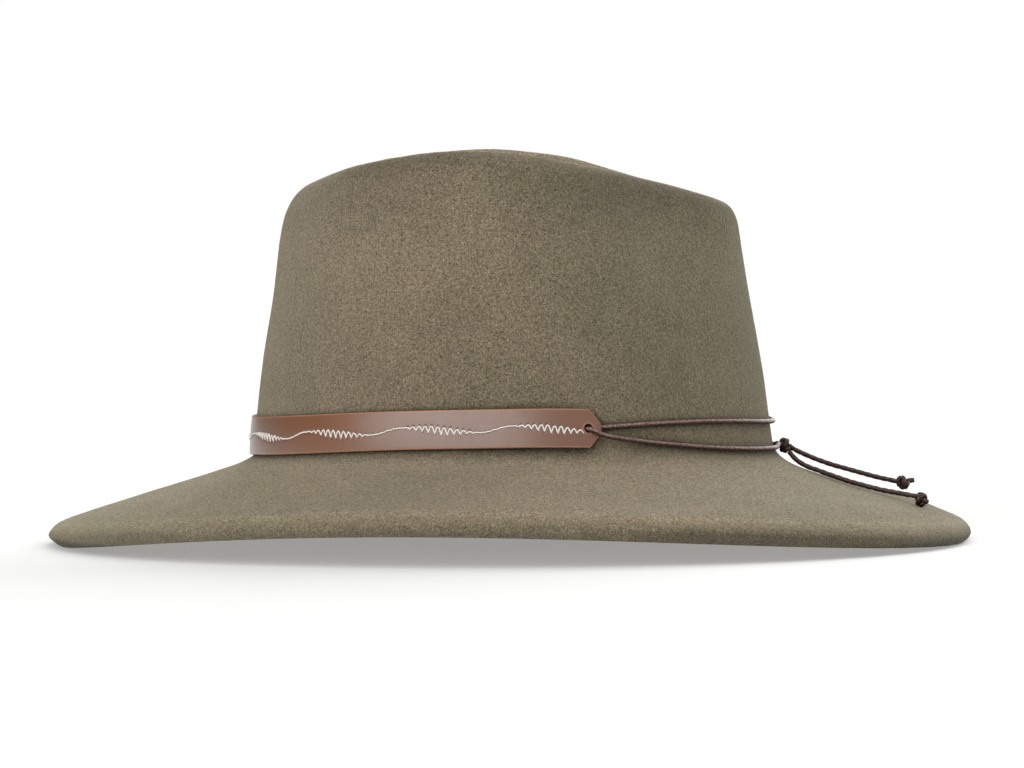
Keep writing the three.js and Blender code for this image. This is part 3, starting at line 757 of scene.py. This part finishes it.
def felt_piece():
    """The felt, marked with where it lies flat, where painted shade and painted highlights fall, and where
    a painted pool of light brightens it.
    """
    angle, share = felt_grid()
    outer, normal = felt_surface(angle, share)
    points, faces = closed_shell(outer, outer - normal * FELT_THICKNESS)
    piece = make_piece("moulded_felt", points, faces, [FELT], sharp=50)
    at, along, height = share * LAST, outer[..., 0], felt(angle, share)[..., 2]
    lies_flat = smoothstep(np.abs(normal[..., 2]), 0.5, 0.9)
    # painted shade toward the crown's back and front ends
    crown_end_shade = CROWN_BACK_SHADE * smoothstep(-along, 60, 96) + CROWN_FRONT_SHADE * smoothstep(along, 5, 45)
    crown_end_shade *= (1 - lies_flat) * smoothstep(height, 45, 60)
    darker = lip_painted_shade(at, along) + crest_painted_shade(at, along, height) + crown_end_shade
    # a painted pool of light on the back half of the crown's wall and on the middle of the brim
    faded = LIT_PATCH_WALL * bump_at(along, -50, 50) * (1 - lies_flat)
    faded += LIT_PATCH_BRIM * bump_at(along, -5, 85) * lies_flat

    def on_shell(value, at_rim):
        return np.concatenate([value.ravel(), value.ravel(), np.full(2 * FELT_COLUMNS, at_rim)])

    mark_points(piece, darker=on_shell(darker, RIM_SHADE), lies_flat=on_shell(lies_flat, 0.0))
    mark_points(piece, faded=on_shell(faded, 0.0))
    return piece


moulded_felt = felt_piece()
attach(moulded_felt, "root")
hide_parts("felt_body")

# The band and its stitching
STRAP_STEP, STRAP_SAMPLES = 0.33, 3001
EDGE_ROUND, BAND_BULGE, BULGE_CHANGE, BULGE_WAVE = 0.35, 0.3, 0.08, 23
STITCH_FEED, STITCH_TO_HOLE = 1.24, 0.3
STITCH_HALF_HEIGHT, STITCH_SWING, STITCH_LEVEL = 1.4, 1.14, -0.32
STITCH_JITTER, LEVEL_JITTER, BURST_JITTER = 0.06, 0.03, 0.07
BURST_LENGTH, BURST_PERIOD, BURST_SKEW, BURST_SHARPNESS = 31.8, 43.4, 1.25, 1.35
BURST_STARTS = [3, 46.4, 90.3, 133.2]  # from the band's near point, as the photo spaces them
NEEDLE_RADIUS, NEEDLE_DEPTH, NEEDLE_ABOVE_THREAD = 0.36, 0.3, 0.46
THREAD_RADIUS, THREAD_PITCH, THREAD_SIDES = 0.27, 1.2, 8
THREAD_STEP, FEWEST_STEPS = 0.16, 8
THREAD_DIVE, THREAD_RISE, PLY_DEPTH = 0.24, 0.44, 0.12
WARMER_AT, WARMER_SPREAD = 118, 26
PUNCH_GAP, PUNCH_SIDES = 0.1, 40


class Strap:
    """Places on the band's front face, by length from its near point and height on the face."""

    def __init__(self):
        self.angle = np.linspace(360 - BAND_END_ANGLE, BAND_END_ANGLE, STRAP_SAMPLES)
        self.middle, self.across, self.out = band_frame(self.angle)
        self.at = run_length(self.middle + self.out * BAND_THICKNESS)
        self.length = self.at[-1]

    def pick(self, values, s):
        return np.stack([np.interp(s, self.at, values[:, k]) for k in range(3)], -1)

    def point(self, s, height, depth):
        """depth is measured from the back face."""
        s, height, depth = np.broadcast_arrays(*(np.asarray(x, float) for x in (s, height, depth)))
        across, out = unit(self.pick(self.across, s)), unit(self.pick(self.out, s))
        return self.pick(self.middle, s) + across * height[..., None] + out * depth[..., None]

    def length_at(self, angle):
        """The length along the strap at an angle round the crown."""
        return float(np.interp(-angle, -self.angle, self.at))


def stitch_points(strap):
    """Where the thread turns, and how far above each turn its needle hole shows: a straight line
    of stitches that breaks into waves and settles again."""
    starts = list(BURST_STARTS)
    while starts[-1] + BURST_PERIOD < strap.length:
        starts.append(starts[-1] + BURST_PERIOD)
    first, last = (strap.length_at(angle) for angle in HOLES)
    clear = HOLE_RADIUS + STITCH_TO_HOLE
    s = np.arange(first + clear, last - clear, STITCH_FEED)
    level, swing = np.empty_like(s), np.zeros_like(s)
    for start, after in zip(starts, starts[1:] + [starts[-1] + BURST_PERIOD]):
        u = (s - start) / BURST_LENGTH
        burst = (u >= 0) & (u <= 1)
        level[burst] = -np.cos(np.pi * u[burst] ** BURST_SKEW)
        swing[burst] = np.sin(np.pi * u[burst]) ** BURST_SHARPNESS
        w = (s - start - BURST_LENGTH) / (after - start - BURST_LENGTH)
        plain = (w > 0) & (w < 1)
        level[plain] = np.cos(np.pi * w[plain])
    side = np.where(np.arange(len(s)) % 2, 1, -1)
    height = STITCH_LEVEL + STITCH_SWING * level + STITCH_HALF_HEIGHT * swing * side
    jitter = rng.normal(0, 1, (2, len(s)))
    s = s + STITCH_JITTER * jitter[0]
    height = height + (LEVEL_JITTER + BURST_JITTER * swing) * jitter[1]
    in_burst = np.minimum(1, 3 * swing)
    return s, height, np.where(side > 0, NEEDLE_ABOVE_THREAD * in_burst, 0)


def half_width(s, length):
    """Half the strap's width, which narrows to a blunt point at each end."""
    from_end = np.minimum(s, length - s)
    nose = BAND_NOSE_HEIGHT / 2
    return nose + (BAND_WIDTH / 2 - nose) * np.clip(from_end / BAND_POINT_LENGTH, 0, 1)


def strap_rows(length):
    """Where along the strap its rows of points are, and how far the rows at its two ends are drawn
    in to round them."""
    ends = np.array([0, 0.1, EDGE_ROUND, 0.8, 1.4, 2, 2.6, 3.2, 3.8, 4.3, BAND_POINT_LENGTH])
    middle = np.arange(BAND_POINT_LENGTH + STRAP_STEP, length - BAND_POINT_LENGTH, STRAP_STEP)
    s = np.concatenate([ends, middle, length - ends[::-1]])
    inset = np.zeros_like(s)
    inset[[0, -1]], inset[[1, -2]] = EDGE_ROUND, 0.3 * EDGE_ROUND
    return s, inset


def strap_section():
    """The strap's section, from the back's lower corner round the front to the back's upper
    corner: a share of the flat half width, how far past the flat, the depth, and whether the
    point is on the front."""
    arc = np.radians([0, 30, 60, 90])
    stitched = np.linspace(-0.57, 0.5, 26)
    fine = np.concatenate([np.linspace(-1, -0.6, 6), stitched, np.linspace(0.55, 1, 7)])
    face, corner_points = fine[1:-1], 2 + len(arc)
    flat = [*([-1] * corner_points), *face, *([1] * corner_points), 0.5, 0, -0.5]
    past = [-0.7, -1, *(-np.cos(arc)), *([0] * len(face)), *np.sin(arc), 1, 0.7, 0, 0, 0]
    low, high = EDGE_ROUND * 0.6, BAND_THICKNESS - EDGE_ROUND
    depth = [0, low, *(high + EDGE_ROUND * np.sin(arc)), *([BAND_THICKNESS] * len(face))]
    depth += [*(high + EDGE_ROUND * np.cos(arc)), low, 0, 0, 0, 0]
    front = np.zeros(len(flat), bool)
    front[corner_points : corner_points + len(face)] = True
    return np.array(flat, float), np.array(past, float), np.array(depth, float), front


def needle_pits(s, height, front, turns):
    """How deep each point is in a needle hole, from 0 to 1."""
    pit = np.zeros_like(height)
    for k in np.nonzero(front)[0]:
        gap = np.hypot(s[:, k, None] - turns[0], height[:, k, None] - turns[1] - turns[2])
        pit[:, k] = np.exp(-((gap.min(1) / NEEDLE_RADIUS) ** 4))
    return pit


def face_bulge(height):
    """How far the strap's front face falls back from its middle line, as a share."""
    return (height / BAND_WIDTH * 2) ** 2


def band_piece(strap, turns):
    """The strap, marked with its needle holes, its worn rims and its warmer stretch."""
    s, inset = strap_rows(strap.length)
    flat, past, depth, front = strap_section()
    half = half_width(s, strap.length) - inset
    height = flat * (half[:, None] - EDGE_ROUND) + past * EDGE_ROUND
    s = np.repeat(s[:, None], len(flat), 1)
    centre = BAND_THICKNESS / 2
    depth = centre + (depth - centre) * (1 - inset[:, None] / centre)
    pit = needle_pits(s, height, front, turns)
    bulge = (BULGE_CHANGE * np.sin(s / BULGE_WAVE) - BAND_BULGE) * face_bulge(height)
    depth = depth - NEEDLE_DEPTH * pit + np.where(depth > centre, bulge, 0)
    rows, columns = height.shape
    faces = grid_faces(rows, columns, closed=True)
    first, second = faces[:, 0] % columns, faces[:, 1] % columns
    back_points = 4
    on_back = (first >= columns - back_points) | (second == 0)
    slots = np.where(front[first] | front[second] | on_back, 0, 1)
    caps = [list(range(columns))[::-1], list(range((rows - 1) * columns, rows * columns))]
    points = strap.point(s, height, depth).reshape(-1, 3)
    piece = make_piece("leather_strap", points, faces.tolist() + caps, [LEATHER, RAW_EDGE], [*slots, 1, 1])
    mesh = piece.data
    corner = np.empty(len(mesh.loops), int)
    mesh.loops.foreach_get("vertex_index", corner)
    chart = np.stack([s.ravel(), height.ravel()], 1)[corner] * MM
    mesh.uv_layers.new(name="strap").data.foreach_set("uv", chart.ravel())
    from_hole = [np.hypot(s - strap.length_at(angle), height) - HOLE_RADIUS for angle in HOLES]
    at_hole = bump_at(np.minimum(*from_hole), 0.2, 0.55)
    at_edge = smoothstep(np.abs(height) - half[:, None], -0.75, -0.3)
    warmer = 0.6 * bump_at(s, WARMER_AT, WARMER_SPREAD)
    mark_points(piece, needle=pit, worn=np.maximum(at_hole, at_edge), warmer=warmer)
    return piece


def cut_with(piece, cutter):
    """Takes the cutter's shape out of the piece."""
    boolean = piece.modifiers.new("cut", "BOOLEAN")
    boolean.operation, boolean.object, boolean.solver = "DIFFERENCE", cutter, "EXACT"
    graph = bpy.context.evaluated_depsgraph_get()
    cut = bpy.data.meshes.new_from_object(piece.evaluated_get(graph), depsgraph=graph)
    piece.modifiers.clear()
    piece.data = cut
    bpy.data.objects.remove(cutter)


def stitches(strap, turns):
    """Two-ply thread that dives at each low turn and bends round below each high one."""
    points, faces, count, run = [], [], 0, 0.0
    turn = turns_round(THREAD_SIDES)
    for i in range(len(turns[0]) - 1):
        (s0, s1), (h0, h1) = turns[0][i : i + 2], turns[1][i : i + 2]
        span = math.hypot(s1 - s0, h1 - h0)
        w = np.linspace(0, 1, max(FEWEST_STEPS, int(span / THREAD_STEP)))
        rises = i % 2 == 0
        bend = np.sin(np.pi / 2 * w) if rises else 1 - np.cos(np.pi / 2 * w)
        from_low = w if rises else 1 - w
        lift = (1 - (1 - from_low) ** 5) * (1 - 0.35 * from_low**6)
        height = h0 + bend * (h1 - h0)
        face = BAND_THICKNESS - BAND_BULGE * face_bulge(height)
        line = strap.point(s0 + w * (s1 - s0), height, face - THREAD_DIVE + THREAD_RISE * lift)
        ply = np.cos(2 * turn - 2 * np.pi * (run + w[:, None] * span) / THREAD_PITCH)
        stitch, sides = tube_mesh(line, THREAD_RADIUS * (1 + PLY_DEPTH * ply), THREAD_SIDES)
        points.append(stitch)
        faces += [[v + count for v in side] for side in sides]
        count += len(stitch)
        run += span
    return make_piece("wave_stitching", np.concatenate(points), faces, [THREAD])


strap = Strap()
turns = stitch_points(strap)
leather_strap = band_piece(strap, turns)
for angle in HOLES:
    at = strap.length_at(angle)
    through = np.linspace(strap.point(at, 0, -2), strap.point(at, 0, 4), 5)
    punch = make_piece("punch", *tube_mesh(through, HOLE_RADIUS - PUNCH_GAP, PUNCH_SIDES), [RAW_EDGE])
    cut_with(leather_strap, punch)
leather_strap.data.name = "leather_strap"
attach(leather_strap, "root")
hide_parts("leather_band")

wave_stitching = stitches(strap, turns)
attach(wave_stitching, "root")

# The floor and the light
FLOOR_REACH, FLOOR_DROP, FLOOR_GLOW = 9000, 0.3, 0.3
ROOM_LIGHT, ROOM_SEEN = 0.1, 1.0

floor_look = {"Roughness": 1.0, "Specular IOR Level": 0.0}
floor_look |= {"Emission Color": (1, 1, 1, 1), "Emission Strength": FLOOR_GLOW}
floor_material = Shade("pale_floor", floor_look).finish(rgb(218, 218, 217))
corners = [(-1, -1), (1, -1), (1, 1), (-1, 1)]
floor_points = [(x * FLOOR_REACH, y * FLOOR_REACH, -FLOOR_DROP) for x, y in corners]
floor = make_piece("floor", floor_points, [[0, 1, 2, 3]], [floor_material])

world = bpy.data.worlds.new("studio")
world.use_nodes = True
room = world.node_tree.nodes["Background"]
room.inputs["Color"].default_value = (1, 1, 1, 1)
seen = world.node_tree.nodes.new("ShaderNodeLightPath").outputs["Is Camera Ray"]
level = world.node_tree.nodes.new("ShaderNodeMapRange")
level.inputs["To Min"].default_value, level.inputs["To Max"].default_value = ROOM_LIGHT, ROOM_SEEN
world.node_tree.links.new(seen, level.inputs["Value"])
world.node_tree.links.new(level.outputs["Result"], room.inputs["Strength"])
bpy.context.scene.world = world
bpy.context.scene.view_settings.view_transform = "Standard"


def soft_light(name, azimuth, elevation, spread, strength):
    """Soft light from far off. Azimuth 0 is the camera's side, 90 is +X; spread is its width."""
    a, e = math.radians(azimuth), math.radians(elevation)
    back = Vector((math.sin(a) * math.cos(e), -math.cos(a) * math.cos(e), math.sin(e)))
    data = bpy.data.lights.new(name, "SUN")
    data.angle, data.energy = math.radians(spread), strength
    light = bpy.data.objects.new(name, data)
    light.location = back
    light.rotation_euler = (-back).to_track_quat("-Z", "Y").to_euler()
    bpy.context.scene.collection.objects.link(light)


soft_light("key", -32, 16, 56, 2.0)
soft_light("fill", 30, 16, 80, 0.6)
soft_light("back_right", 150, 20, 60, 3.6)
soft_light("back", 182, 22, 60, 0.6)
soft_light("overhead", 0, 78, 50, 0.8)
